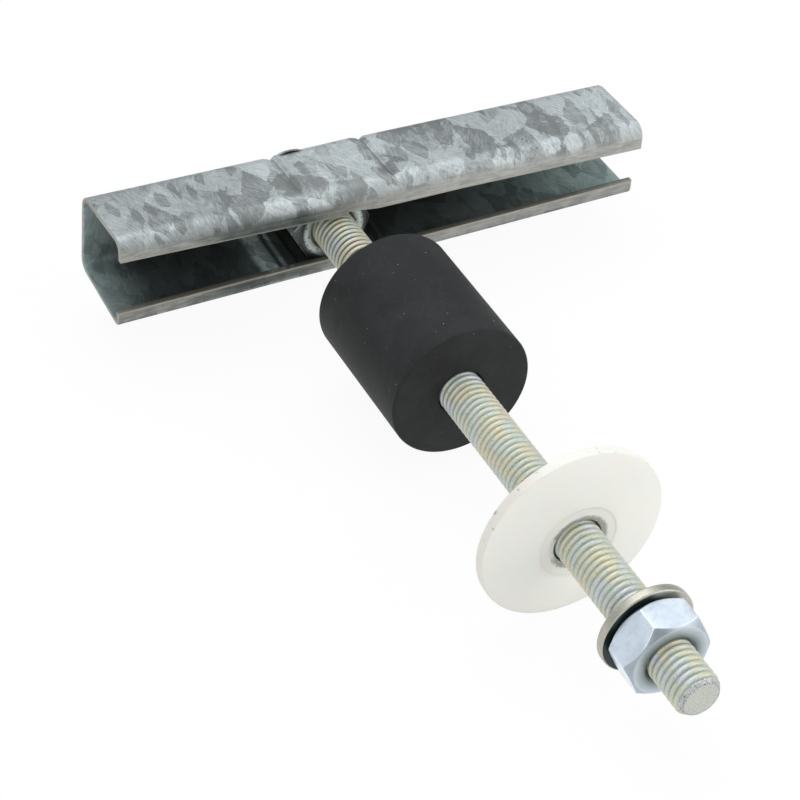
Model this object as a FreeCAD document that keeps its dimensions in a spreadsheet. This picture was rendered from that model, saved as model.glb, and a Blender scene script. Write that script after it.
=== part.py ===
import FreeCAD
import Part
import math
import os
import Sketcher

# Toggle bolt for hollow walls, in millimetres.
# The stud lies along Y with its tip towards -Y, the toggle bar lies across it along X.
# The frame's origin is at the bottom centre of the whole object, Z is up.

SIZES = [
    # Stud
    ("rod_diameter", 10.0),
    ("rod_length", 162.0),
    ("rod_tip_diameter", 7.8),
    ("rod_tip_length", 1.4),
    # Both nuts
    ("nut_across_flats", 16.8),
    ("nut_height", 8.0),
    ("nut_face_diameter", 15.6),
    ("nut_chamfer_angle", 30.0),
    ("nut_countersink", 0.6),
    ("running_clearance", 0.05),
    ("captive_nut_from_rod_end", 0.4),
    # Pieces on the stud, counted from its tip
    ("front_nut_from_tip", 10.45),
    ("front_nut_turn", 5.0),
    ("face_gap", 0.1),
    ("steel_washer_diameter", 20.0),
    ("steel_washer_thickness", 2.0),
    ("steel_washer_clearance", 0.25),
    ("steel_washer_edge", 0.3),
    ("plastic_washer_from_tip", 44.4),
    ("plastic_washer_diameter", 40.2),
    ("plastic_washer_clearance", 0.2),
    ("plastic_rim_thickness", 2.1),
    ("plastic_cone_rise", 2.3),
    ("plastic_ring_diameter", 18.0),
    ("plastic_dish_depth", 1.5),
    ("plastic_edge", 0.35),
    ("sleeve_from_tip", 92.6),
    ("sleeve_diameter", 31.6),
    ("sleeve_length", 35.4),
    ("sleeve_edge", 0.5),
    # Toggle bar, one folded sheet
    ("sheet_thickness", 1.4),
    ("short_arm", 52.0),
    ("long_arm", 77.5),
    ("channel_depth", 22.5),
    ("channel_height", 21.0),
    ("nut_side_clearance", 0.2),
    ("nut_lip_gap", 0.4),
    ("section_lean", 1.8),
    ("middle_left", 12.0),
    ("middle_right", 18.0),
    ("top_back_rise_left", 0.2),
    ("top_back_rise_middle", -0.2),
    ("top_back_rise_right", -1.3),
    ("top_flare_left", 1.9),
    ("top_flare_middle", 0.75),
    ("top_flare_right", -0.8),
    ("bottom_flare_left", 1.4),
    ("bottom_flare_middle", 0.85),
    ("bottom_flare_right", 0.05),
    ("top_lip_left", 4.6),
    ("top_lip_middle", 5.9),
    ("top_lip_right", 6.0),
    ("bottom_lip", 4.1),
    ("bend_top_front", 3.4),
    ("bend_top_back", 4.5),
    ("bend_bottom_back", 3.0),
    ("bend_bottom_front", 1.9),
    # Pressed stop ribs beside the captive nut
    ("rib_left_from_rod", 8.0),
    ("rib_right_from_rod", 13.9),
    ("rib_groove_half_width", 1.5),
    ("rib_groove_depth", 0.8),
    ("rib_ridge_half_width", 2.2),
    ("rib_ridge_height", 0.8),
    ("rib_fade", 3.5),
    ("rib_ridge_later", 1.6),
    ("rib_left_front_margin", 2.6),
    ("rib_right_front_margin", 0.6),
    # Lanced strap on the upper back bend
    ("strap_from_rod", 3.8),
    ("strap_radius", 4.0),
    ("strap_thickness", 0.55),
    ("strap_rise", 1.3),
    ("strap_depth", 2.7),
    ("strap_back_margin", 2.1),
]

doc = FreeCAD.newDocument("toggle_bolt")
sheet = doc.addObject("Spreadsheet::Sheet", "Sizes")
for row, (alias, value) in enumerate(SIZES, start=1):
    sheet.set("A%d" % row, alias)
    sheet.set("B%d" % row, str(value))
    sheet.setAlias("B%d" % row, alias)
doc.recompute()


def sized(text):
    """Write the sheet's name before each size that an expression names."""
    names = sorted((alias for alias, value in SIZES), key=len, reverse=True)
    words = []
    for word in text.split():
        bare = word.strip("()-")
        words.append(word.replace(bare, "Sizes." + bare) if bare in names else word)
    return " ".join(words)


def number(text):
    """Work out an expression of sizes, as a plain number."""
    return float(sheet.evalExpression(sized(text)))


def origin_plane(body, role):
    """Find one of a body's own origin planes."""
    return next(item for item in body.Origin.OriginFeatures if item.Role == role)


def new_body(name, place):
    """Add a body with its origin placed by three expressions."""
    body = doc.addObject("PartDesign::Body", name)
    body.Label = name
    for letter, text in zip("xyz", place):
        body.setExpression("Placement.Base." + letter, sized(text))
    return body


def new_sketch(body, name, role, offset="0"):
    """Add a sketch on an origin plane, moved along the plane's normal."""
    sketch = body.newObject("Sketcher::SketchObject", name)
    sketch.AttachmentSupport = (origin_plane(body, role), [""])
    sketch.MapMode = "FlatFace"
    sketch.setExpression("AttachmentOffset.Base.z", sized(offset))
    return sketch


def fix_point(sketch, geometry, point, across, up):
    """Tie one point of a sketch to two expressions."""
    for kind, text in (("DistanceX", across), ("DistanceY", up)):
        rule = Sketcher.Constraint(kind, -1, 1, geometry, point, number(text))
        index = sketch.addConstraint(rule)
        sketch.setExpression("Constraints[%d]" % index, sized(text))


def draw_outline(sketch, corners):
    """Draw a closed outline of straight lines with every corner tied to sizes."""
    spots = [FreeCAD.Vector(number(across), number(up), 0) for across, up in corners]
    first = sketch.GeometryCount
    for index, spot in enumerate(spots):
        sketch.addGeometry(Part.LineSegment(spot, spots[(index + 1) % len(spots)]), False)
    for index, (across, up) in enumerate(corners):
        after = first + (index + 1) % len(corners)
        sketch.addConstraint(Sketcher.Constraint("Coincident", first + index, 2, after, 1))
        fix_point(sketch, first + index, 1, across, up)


def turn(body, kind, name, sketch, axis="V_Axis"):
    """Turn a sketch full circle, to add or to cut."""
    feature = body.newObject("PartDesign::" + kind, name)
    feature.Profile = sketch
    feature.ReferenceAxis = (sketch, [axis])
    feature.Angle = 360
    sketch.Visibility = False
    return feature


def turned_body(name, place, corners):
    """Make a round piece from its half section: radius across, distance along the stud up."""
    body = new_body(name, place)
    profile = new_sketch(body, name + "_section", "XY_Plane")
    draw_outline(profile, corners)
    turn(body, "Revolution", name + "_turned", profile)
    return body


# Places that several pieces share
rod_across = "( short_arm - long_arm ) / 2"
rod_up = "plastic_washer_diameter / 2"
rod_bore = "( rod_diameter / 2 + running_clearance )"
nut_corner = "( nut_across_flats / 2 / cos(30deg) )"
captive_front = "( rod_length - captive_nut_from_rod_end - nut_height )"
mouth_from_tip = "( " + captive_front + " - nut_lip_gap - sheet_thickness - section_lean / 2 )"
tip_along = "( - ( " + mouth_from_tip + " + channel_depth + section_lean / 2 ) / 2 )"


def on_rod(from_tip):
    """Place a body's origin on the stud's axis at a distance from the tip."""
    return (rod_across, tip_along + " + " + from_tip, rod_up)


# Stud: a plain cylinder over the thread's crests, with the sawn and chamfered ends
turned_body("threaded_rod", on_rod("0"), [
    ("0", "0"),
    ("rod_tip_diameter / 2", "0"),
    ("rod_diameter / 2", "rod_tip_length"),
    ("rod_diameter / 2", "rod_length - rod_tip_length"),
    ("rod_tip_diameter / 2", "rod_length"),
    ("0", "rod_length"),
])


def hex_nut(name, place):
    """Make a hexagon nut with both faces chamfered and both ends of the bore countersunk."""
    body = new_body(name, place)
    hexagon = new_sketch(body, name + "_hexagon", "XZ_Plane")
    draw_outline(hexagon, [
        (nut_corner + " * cos(%ddeg)" % angle, nut_corner + " * sin(%ddeg)" % angle)
        for angle in range(0, 360, 60)
    ])
    block = body.newObject("PartDesign::Pad", name + "_block")
    block.Profile = hexagon
    block.setExpression("Length", sized("nut_height"))
    block.Reversed = True
    hexagon.Visibility = False
    doc.recompute()
    slope = "tan( nut_chamfer_angle * 1deg )"
    reach = "( " + nut_corner + " + 1 - nut_face_diameter / 2 ) * " + slope
    waste = new_sketch(body, name + "_chamfers", "XY_Plane")
    outside = nut_corner + " + 1"
    draw_outline(waste, [
        ("nut_face_diameter / 2", "0"),
        (outside, "0"),
        (outside, reach),
    ])
    draw_outline(waste, [
        ("nut_face_diameter / 2", "nut_height"),
        (outside, "nut_height - " + reach),
        (outside, "nut_height"),
    ])
    turn(body, "Groove", name + "_chamfered", waste)
    hole = new_sketch(body, name + "_bore", "XY_Plane")
    draw_outline(hole, [
        ("0", "0"),
        (rod_bore + " + nut_countersink", "0"),
        (rod_bore, "nut_countersink"),
        (rod_bore, "nut_height - nut_countersink"),
        (rod_bore + " + nut_countersink", "nut_height"),
        ("0", "nut_height"),
    ])
    turn(body, "Groove", name + "_bored", hole)
    return body


hex_nut("captive_nut", on_rod(captive_front))
front_nut = hex_nut("front_nut", on_rod("front_nut_from_tip"))
front_nut.Placement.Rotation = FreeCAD.Rotation(FreeCAD.Vector(0, 1, 0), number("front_nut_turn"))
front_nut.setExpression("Placement.Rotation.Angle", sized("front_nut_turn"))

# Steel washer behind the front nut
steel_washer_front = "front_nut_from_tip + nut_height + face_gap"
steel_bore = "rod_diameter / 2 + steel_washer_clearance"
steel_radius = "steel_washer_diameter / 2"
turned_body("steel_washer", on_rod(steel_washer_front), [
    (steel_bore, "0"),
    (steel_radius + " - steel_washer_edge", "0"),
    (steel_radius, "steel_washer_edge"),
    (steel_radius, "steel_washer_thickness - steel_washer_edge"),
    (steel_radius + " - steel_washer_edge", "steel_washer_thickness"),
    (steel_bore, "steel_washer_thickness"),
])

# Plastic washer: a rim, a shallow cone up to a ring, and a dish down to the hole
plastic_bore = "rod_diameter / 2 + plastic_washer_clearance"
plastic_radius = "plastic_washer_diameter / 2"
plastic_back = "plastic_cone_rise + plastic_rim_thickness"
turned_body("plastic_washer", on_rod("plastic_washer_from_tip"), [
    (plastic_bore, "plastic_dish_depth"),
    ("plastic_ring_diameter / 2", "0"),
    (plastic_radius + " - plastic_edge", "plastic_cone_rise"),
    (plastic_radius, "plastic_cone_rise + plastic_edge"),
    (plastic_radius, plastic_back + " - plastic_edge"),
    (plastic_radius + " - plastic_edge", plastic_back),
    (plastic_bore, plastic_back),
])

# Rubber sleeve
sleeve_radius = "sleeve_diameter / 2"
turned_body("rubber_sleeve", on_rod("sleeve_from_tip"), [
    (rod_bore, "0"),
    (sleeve_radius + " - sleeve_edge", "0"),
    (sleeve_radius, "sleeve_edge"),
    (sleeve_radius, "sleeve_length - sleeve_edge"),
    (sleeve_radius + " - sleeve_edge", "sleeve_length"),
    (rod_bore, "sleeve_length"),
])

# Toggle bar: its own origin is on the stud's axis, midway between the two lips' outer faces
channel = new_body("channel", on_rod(mouth_from_tip))
below = "( nut_across_flats / 2 + nut_side_clearance + sheet_thickness )"
above = "( channel_height - " + below + " )"


def draw_folded_path(sketch, spots, bends, inset):
    """Draw an open path of lines joined by tangent arcs, set in towards the bends' centres."""
    arcs = []
    for index, bend in enumerate(bends, start=1):
        corner = spots[index]
        toward_last = (spots[index - 1] - corner).normalize()
        toward_next = (spots[index + 1] - corner).normalize()
        half = toward_last.getAngle(toward_next) / 2
        reach = bend / math.tan(half)
        centre = corner + (toward_last + toward_next).normalize() * (bend / math.sin(half))
        rays = [corner + toward_last * reach - centre, corner - centre, corner + toward_next * reach - centre]
        arcs.append([centre + ray.normalize() * (bend - inset) for ray in rays])
    shift = FreeCAD.Vector(inset, 0, 0)
    starts = [spots[0] + shift] + [arc[2] for arc in arcs]
    stops = [arc[0] for arc in arcs] + [spots[-1] + shift]
    path = {
        "arcs": [sketch.addGeometry(Part.Arc(*arc), False) for arc in arcs],
        "lines": [sketch.addGeometry(Part.LineSegment(*ends), False) for ends in zip(starts, stops)],
    }
    for index, arc in enumerate(path["arcs"]):
        join_tangent(sketch, arc, arcs[index][0], path["lines"][index], 2)
        join_tangent(sketch, arc, arcs[index][2], path["lines"][index + 1], 1)
    return path


def join_tangent(sketch, arc, spot, line, line_point):
    """Join a line's end to whichever end of an arc lies at a spot, without a kink."""
    arc_point = 1 if (sketch.getPoint(arc, 1) - spot).Length < 0.001 else 2
    sketch.addConstraint(Sketcher.Constraint("Tangent", arc, arc_point, line, line_point))


def channel_section(name, across, end):
    """Draw the folded sheet's section: lip, flange, back, flange and lip, joined by four bends."""
    sketch = new_sketch(channel, name, "YZ_Plane", across)
    top_front = above + " + top_flare_" + end
    bottom_front = "- " + below + " - bottom_flare_" + end
    rise = "top_back_rise_" + end
    top_back = "channel_depth - section_lean * ( 1 / 2 + " + rise + " / channel_height )"
    corners = [
        ("- section_lean / 2", top_front, "bend_top_front"),
        (top_back, above + " + " + rise, "bend_top_back"),
        ("channel_depth + section_lean / 2", "- " + below, "bend_bottom_back"),
        ("section_lean / 2", bottom_front, "bend_bottom_front"),
    ]
    lips = [
        ("- section_lean / 2", top_front + " - top_lip_" + end),
        ("section_lean / 2", bottom_front + " + bottom_lip"),
    ]
    places = [lips[0]] + [(along, up) for along, up, bend in corners] + [lips[1]]
    spots = [FreeCAD.Vector(number(along), number(up), 0) for along, up in places]
    bends = [number(bend) for along, up, bend in corners]
    outer = draw_folded_path(sketch, spots, bends, 0)
    inner = draw_folded_path(sketch, spots, bends, number("sheet_thickness"))
    for index, (along, up, bend) in enumerate(corners):
        corner = sketch.addGeometry(Part.Point(spots[index + 1]), True)
        sketch.addConstraint(Sketcher.Constraint("PointOnObject", corner, 1, outer["lines"][index]))
        sketch.addConstraint(Sketcher.Constraint("PointOnObject", corner, 1, outer["lines"][index + 1]))
        fix_point(sketch, corner, 1, along, up)
        outside = outer["arcs"][index]
        inside = inner["arcs"][index]
        sketch.addConstraint(Sketcher.Constraint("Coincident", outside, 3, inside, 3))
        for arc, text in ((outside, bend), (inside, bend + " - sheet_thickness")):
            radius = sketch.addConstraint(Sketcher.Constraint("Radius", arc, number(text)))
            sketch.setExpression("Constraints[%d]" % radius, sized(text))
    for line, point, (along, up) in ((0, 1, lips[0]), (-1, 2, lips[1])):
        outside = outer["lines"][line]
        inside = inner["lines"][line]
        edge = sketch.addGeometry(
            Part.LineSegment(sketch.getPoint(outside, point), sketch.getPoint(inside, point)), False)
        sketch.addConstraint(Sketcher.Constraint("Coincident", edge, 1, outside, point))
        sketch.addConstraint(Sketcher.Constraint("Coincident", edge, 2, inside, point))
        sketch.addConstraint(Sketcher.Constraint("Horizontal", edge))
        sketch.addConstraint(Sketcher.Constraint("Vertical", inside))
        fix_point(sketch, outside, point, along, up)
    sketch.Visibility = False
    return sketch


# The middle of the bar is straight; towards both ends the flanges flare
middle_left = channel_section("channel_middle_left", "- middle_left", "middle")
middle_right = channel_section("channel_middle_right", "middle_right", "middle")
middle = channel.newObject("PartDesign::Pad", "channel_middle")
middle.Profile = middle_left
middle.setExpression("Length", sized("middle_left + middle_right"))
for end, across, inner_section in (("left", "- short_arm", middle_left), ("right", "long_arm", middle_right)):
    arm = channel.newObject("PartDesign::AdditiveLoft", "channel_arm_" + end)
    arm.Profile = channel_section("channel_end_" + end, across, end)
    arm.Sections = [inner_section]
    arm.Ruled = True
    doc.recompute()


def flange_point(side, along, depth):
    """Write a place behind a flange's front corner and a depth below its outer face."""
    flare = side + "_flare_middle * ( 1 - ( " + along + " ) / channel_depth )"
    if side == "top":
        rise = "top_back_rise_middle * ( " + along + " ) / channel_depth"
        level = above + " + " + flare + " + " + rise
        return (along + " - section_lean / 2", level + " - ( " + depth + " )")
    return (along + " + section_lean / 2", "( " + depth + " ) - " + below + " - " + flare)


def back_point(side, drop, depth):
    """Write a place down the back wall from a back corner and a depth below its outer face."""
    if side == "top":
        drop = drop + " - top_back_rise_middle"
    lean = "section_lean * ( 1 / 2 - ( " + drop + " ) / channel_height )"
    if side == "top":
        return ("channel_depth - " + lean + " - ( " + depth + " )", above + " - ( " + drop + " )")
    return ("channel_depth + " + lean + " - ( " + depth + " )", "( " + drop + " ) - " + below)


def rib_path(side, front, depth, end_depth):
    """List a rib's line at a depth: along the flange, across its back bend and into the back wall."""
    corner = "( bend_" + side + "_back * ( 2 - sqrt(2) ) + ( " + depth + " ) * ( sqrt(2) - 1 ) )"
    return [
        flange_point(side, front, end_depth),
        flange_point(side, front + " + rib_fade", depth),
        flange_point(side, "channel_depth - " + corner, depth),
        back_point(side, corner, depth),
        back_point(side, corner + " + rib_fade", end_depth),
    ]


def pressed_rib(kind, name, side, across, half_width, front, crest, rest, cover):
    """Loft a rib from its two edges at one depth to its crest line at another, up to a cover depth."""
    sections = []
    for ending, shift, depth in (
            ("_first", " - " + half_width, rest), ("_crest", "", crest), ("_last", " + " + half_width, rest)):
        sketch = new_sketch(channel, name + ending, "YZ_Plane", across + shift)
        back_again = rib_path(side, front, cover, cover)
        draw_outline(sketch, rib_path(side, front, depth, rest) + back_again[::-1])
        sketch.Visibility = False
        sections.append(sketch)
    rib = channel.newObject("PartDesign::" + kind, name)
    rib.Profile = sections[0]
    rib.Sections = sections[1:]
    rib.Ruled = True
    doc.recompute()


# Each rib is a ridge pressed inwards, and the groove that it leaves outside
RIBS = (
    ("left", "- rib_left_from_rod", "rib_left_front_margin"),
    ("right", "rib_right_from_rod", "rib_right_front_margin"),
)
for flange in ("top", "bottom"):
    for end, across, front in RIBS:
        name = "rib_" + flange + "_" + end
        pressed_rib("AdditiveLoft", name + "_ridge", flange, across, "rib_ridge_half_width",
                    front + " + rib_ridge_later", "sheet_thickness + rib_ridge_height",
                    "sheet_thickness / 2", "sheet_thickness / 2 - 0.2")
        pressed_rib("SubtractiveLoft", name + "_groove", flange, across, "rib_groove_half_width",
                    front, "rib_groove_depth", "-0.02", "-0.5")

# Lanced strap: a small arch that stands on the upper back bend
strap = new_sketch(channel, "strap_arch", "XZ_Plane", "- channel_depth + section_lean / 2 + strap_back_margin")
strap_centre = above + " + top_back_rise_middle + strap_rise - strap_radius"
strap_foot = above + " + top_back_rise_middle - sheet_thickness * 0.7"
crown = FreeCAD.Vector(number("- strap_from_rod"), number(strap_centre), 0)
foot_drop = number(strap_foot) - crown.y
ends = {}
for arch, text in (("over", "strap_radius"), ("under", "strap_radius - strap_thickness")):
    radius = number(text)
    half = math.sqrt(radius ** 2 - foot_drop ** 2)
    curve = Part.Arc(
        crown + FreeCAD.Vector(half, foot_drop, 0),
        crown + FreeCAD.Vector(0, radius, 0),
        crown + FreeCAD.Vector(-half, foot_drop, 0),
    )
    ends[arch] = strap.addGeometry(curve, False)
    fix_point(strap, ends[arch], 3, "- strap_from_rod", strap_centre)
    rule = strap.addConstraint(Sketcher.Constraint("Radius", ends[arch], radius))
    strap.setExpression("Constraints[%d]" % rule, sized(text))
    for point in (1, 2):
        rule = Sketcher.Constraint("DistanceY", -1, 1, ends[arch], point, number(strap_foot))
        index = strap.addConstraint(rule)
        strap.setExpression("Constraints[%d]" % index, sized(strap_foot))
for point in (1, 2):
    start = strap.getPoint(ends["over"], point)
    stop = strap.getPoint(ends["under"], point)
    foot = strap.addGeometry(Part.LineSegment(start, stop), False)
    strap.addConstraint(Sketcher.Constraint("Coincident", foot, 1, ends["over"], point))
    strap.addConstraint(Sketcher.Constraint("Coincident", foot, 2, ends["under"], point))
lance = channel.newObject("PartDesign::Pad", "strap_lanced")
lance.Profile = strap
lance.setExpression("Length", sized("strap_depth"))
strap.Visibility = False

doc.recompute()

NODES = [
    "channel",
    "threaded_rod",
    "captive_nut",
    "rubber_sleeve",
    "plastic_washer",
    "steel_washer",
    "front_nut",
]

for item in doc.Objects:
    if "Invalid" in item.State or "Error" in item.State:
        raise RuntimeError(item.Name + " could not be worked out: " + str(item.State))
for node in NODES:
    shape = doc.getObject(node).Shape
    if shape.isNull() or not shape.isValid() or len(shape.Solids) != 1:
        raise RuntimeError(node + " is not one valid solid")

os.makedirs("parts", exist_ok=True)
for node in NODES:
    piece = doc.getObject(node)
    piece.Shape.exportStep("parts/" + node + ".step")
    box = piece.Shape.BoundBox
    print(node, round(piece.Shape.Volume, 1), [round(value, 2) for value in (
        box.XMin, box.XMax, box.YMin, box.YMax, box.ZMin, box.ZMax)])
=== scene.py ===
import math

import bmesh
import bpy
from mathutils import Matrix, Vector


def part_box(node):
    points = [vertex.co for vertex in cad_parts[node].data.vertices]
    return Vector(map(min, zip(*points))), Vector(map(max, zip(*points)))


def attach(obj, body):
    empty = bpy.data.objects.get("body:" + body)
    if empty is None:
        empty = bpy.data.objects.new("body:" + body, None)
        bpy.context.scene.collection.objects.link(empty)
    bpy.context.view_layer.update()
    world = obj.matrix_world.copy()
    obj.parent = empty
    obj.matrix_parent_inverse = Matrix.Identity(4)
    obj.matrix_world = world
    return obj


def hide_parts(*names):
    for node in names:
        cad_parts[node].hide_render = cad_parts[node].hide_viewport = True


bl_info = {
    "name": "Toggle bolt",
    "version": (1, 0, 0),
    "blender": (4, 5, 0),
    "location": "View3D > Sidebar > Toggle bolt",
    "description": "Dresses a hollow-wall toggle bolt: spangled bar, threaded stud, nuts, washers and sleeve",
    "category": "Object",
}

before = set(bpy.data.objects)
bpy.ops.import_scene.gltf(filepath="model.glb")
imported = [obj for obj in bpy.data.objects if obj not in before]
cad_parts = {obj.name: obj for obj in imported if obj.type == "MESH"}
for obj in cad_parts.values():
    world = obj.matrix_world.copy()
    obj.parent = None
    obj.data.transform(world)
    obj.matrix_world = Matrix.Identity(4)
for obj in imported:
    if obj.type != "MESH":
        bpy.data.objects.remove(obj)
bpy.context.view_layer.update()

MM = 0.001


def middle_of(node):
    """Return the middle of a CAD node's box."""
    low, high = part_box(node)
    return [(low[i] + high[i]) / 2 for i in range(3)]


def span_of(node, axis):
    """Return where a CAD node starts and ends along one axis."""
    low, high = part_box(node)
    return low[axis], high[axis]


def radius_of(node):
    """Return the outer radius of a round CAD node."""
    low, high = span_of(node, 0)
    return (high - low) / 2


STUD_X = middle_of("threaded_rod")[0]
STUD_Z = middle_of("threaded_rod")[2]
CAD_BAR_FRONT = span_of("channel", 1)[0]

# One turn of the thread: share of the pitch, share of the thread's height
THREAD_SECTION = (
    (0.0, 0.0), (0.07, 0.10), (0.16, 0.48), (0.27, 0.84), (0.39, 0.97),
    (0.50, 1.0), (0.61, 0.97), (0.73, 0.84), (0.84, 0.48), (0.93, 0.10),
)
THREAD_COLUMNS = 56
ROUGH_TIP_SHARE = 0.62

NUT_CHAMFER = math.radians(42)
NUT_SEGMENTS = 144
ROUND_SEGMENTS = 160
PLASTIC_SEGMENTS = 192
SOFT_EDGE_ANGLE = math.radians(32)

# The plastic washer's face from its hole outwards: radius and depth behind its front, in millimetres
PLASTIC_FACE = (
    (5.2, 0.40), (5.5, 0.12), (8.0, 0.09), (8.4, 0.02), (9.0, 0.02), (9.5, 0.12), (13.0, 0.78), (17.0, 1.58))
PLASTIC_RIM_DEPTH = 2.3

# Stations along the bar, in millimetres from the stud: place, back rise, top flare, bottom flare, top lip
BAR_STATIONS = (
    (-52.0, 0.20, 1.90, 1.40, 5.30),
    (-42.0, 0.10, 1.61, 1.26, 5.30),
    (-32.0, 0.00, 1.33, 1.13, 5.40),
    (-22.0, -0.10, 1.04, 0.99, 5.45),
    (-12.0, -0.20, 0.75, 0.85, 5.55),
    (-2.5, -0.20, 0.75, 0.85, 6.00),
    (2.4, -0.20, 0.75, 0.85, 5.20),
    (9.0, -0.20, 0.75, 0.85, 6.15),
    (18.0, -0.20, 0.75, 0.85, 6.25),
    (30.0, -0.42, 0.44, 0.69, 6.00),
    (77.5, -1.30, -0.80, 0.05, 6.00),
)
BAR_BOTTOM_LIP = 4.1
BAR_BENDS = (3.4, 4.5, 3.0, 1.9)
BAR_LEAN = 0.9
BAR_DEPTH = 22.5
BAR_TOP = 11.0
BAR_BOTTOM = -10.0
BAR_HEIGHT = BAR_TOP - BAR_BOTTOM
BAR_FLAT_STEPS = (5, 18, 14, 16, 3)
BAR_BEND_STEPS = 10

# Distances between the bar's cross sections: where it is plain, at the strap and at the ribs
PLAIN_STEP = 1.1
STRAP_STEP = 0.4
RIB_STEP = 0.14

# Each rib's place along the bar, and where it fades out towards the front
RIB_PLACES = ((-8.0, 2.6), (13.9, 0.2))
RIB_FADE = 5.0
RIB_BACK_FADE = (3.5, 8.0)
PROUD_BETWEEN_RIBS = 0.16

# Half widths of the dark crease in each rib and of the fainter one beside it
CREASE_HALF = 0.34
SIDE_CREASE_HALF = 0.30
SIDE_CREASE_AWAY = 1.3
SIDE_CREASE_SHARE = 0.65

STRAP_PLACE = -3.6
STRAP_REACH = 3.1
STRAP_SECTIONS = 17
STRAP_FOOT = BAR_TOP - 0.85
STRAP_RISE = 1.9
SLIT_BACK = 19.4
STRAP_CORNERS = ((18.7, -0.1), (20.7, -1.60), (20.7, -2.3), (18.7, -0.52))

# The lamps: name, place, size in metres and power in watts. All of them aim at one point
LAMP_AIM = Vector((0.0, 0.0, 0.02))
LAMPS = (
    ("soft_top", (0.0, 0.25, 0.75), 0.7, 2.6),
    ("soft_left", (-0.60, -0.60, 0.45), 0.7, 2.3),
    ("soft_right", (0.65, -0.60, 0.40), 0.9, 5.1),
)


def length_setting(name, description, millimetres):
    """Declare a length that a user may change."""
    return bpy.props.FloatProperty(
        name=name, description=description, default=millimetres * MM, unit="LENGTH", precision=5)


def colour_setting(name, description, colour):
    """Declare a colour that a user may change."""
    return bpy.props.FloatVectorProperty(
        name=name, description=description, default=colour, subtype="COLOR", size=3, min=0, max=1)


class StudSettings(bpy.types.PropertyGroup):
    pitch: length_setting("Pitch", "Distance from one thread crest to the next", 1.5)
    crest_radius: length_setting("Crest radius", "Radius over the thread's crests", 4.87)
    root_radius: length_setting("Root radius", "Radius in the thread's roots", 4.36)
    tip_radius: length_setting("Tip radius", "Radius of the sawn end face", 3.85)
    tip_length: length_setting("Tip length", "Length of the rough chamfer at each end", 1.4)
    straw: colour_setting("Straw", "Yellowish tint of the zinc", (0.67, 0.64, 0.47))
    green: colour_setting("Green", "Greenish tint of the zinc", (0.57, 0.62, 0.53))
    silver: colour_setting("Silver", "Bluish tint of the zinc", (0.62, 0.65, 0.65))
    rose: colour_setting("Rose", "Reddish tint of the zinc", (0.66, 0.58, 0.52))
    sawn: colour_setting("Sawn face", "Pale metal of the end face", (0.56, 0.575, 0.51))
    face_edge: colour_setting("Face edge", "Darker metal round the end face", (0.42, 0.43, 0.42))
    chamfer: colour_setting("Chamfer", "Pale metal of the rough chamfer", (0.62, 0.64, 0.64))


class NutSettings(bpy.types.PropertyGroup):
    across_flats: length_setting("Across flats", "Distance between two opposite flats", 16.8)
    face_radius: length_setting("Face radius", "Radius of the flat face inside the chamfer", 8.0)
    corner_radius: length_setting("Corner radius", "Rounding of the upright corners", 0.35)
    bore_radius: length_setting("Bore radius", "Radius of the nut's thread at its crests", 4.2)
    countersink: length_setting("Countersink", "Radius of the countersink at the face", 5.55)
    edge: length_setting("Edge", "Rounding of the nuts' sharp edges", 0.12)
    front: colour_setting("Front nut", "Blue zinc of the front nut", (0.81, 0.90, 0.99))
    # The end faces' colour is partly duller zinc and partly painted shade.
    face: colour_setting("Nut face", "Duller zinc of the front nut's end faces", (0.37, 0.43, 0.43))
    captive: colour_setting("Captive nut", "Greenish zinc of the nut in the bar", (0.50, 0.56, 0.53))


class WasherSettings(bpy.types.PropertyGroup):
    bore: length_setting("Bore", "Radius of the steel washer's hole", 5.25)
    edge: length_setting("Edge", "Rounding of the steel washer's edges", 0.40)
    steel: colour_setting("Steel", "Beige zinc of the steel washer", (0.50, 0.48, 0.40))
    cool: colour_setting("Cool steel", "Duller patches on the steel washer", (0.44, 0.44, 0.40))
    warm: colour_setting("Warm steel", "Warmer patches on the steel washer", (0.58, 0.53, 0.43))
    # Colour of the painted shade and reflection on the washer's face.
    face_shade: colour_setting("Film", "Dark oily film on the washer's face", (0.035, 0.055, 0.050))
    plastic_edge: length_setting("Plastic edge", "Rounding of the plastic washer's rim", 0.35)
    plastic: colour_setting("Plastic", "Off-white of the plastic washer", (0.85, 0.84, 0.78))
    # This colour serves the grime round the hole and the painted shade along its edge.
    grime_and_shade: colour_setting("Grime", "Dirt round the plastic washer's hole", (0.17, 0.165, 0.15))
    ring: colour_setting("Ring", "Beige ring round the plastic washer's dish", (0.62, 0.59, 0.47))
    rim: colour_setting("Rim", "Shaded side of the plastic washer's rim", (0.62, 0.58, 0.50))
    marks: colour_setting("Marks", "Brown marks on the plastic washer's rim", (0.22, 0.17, 0.12))


class SleeveSettings(bpy.types.PropertyGroup):
    bore: length_setting("Bore", "Radius of the sleeve's hole", 5.05)
    edge: length_setting("Edge", "Rounding of the sleeve's rims", 0.5)
    rubber: colour_setting("Rubber", "Charcoal of the rubber", (0.016, 0.017, 0.017))
    dust: colour_setting("Dust", "Pale dust on the rubber", (0.25, 0.25, 0.25))
    grit: colour_setting("Grit", "Pale specks in the rubber", (0.45, 0.45, 0.43))


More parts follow.
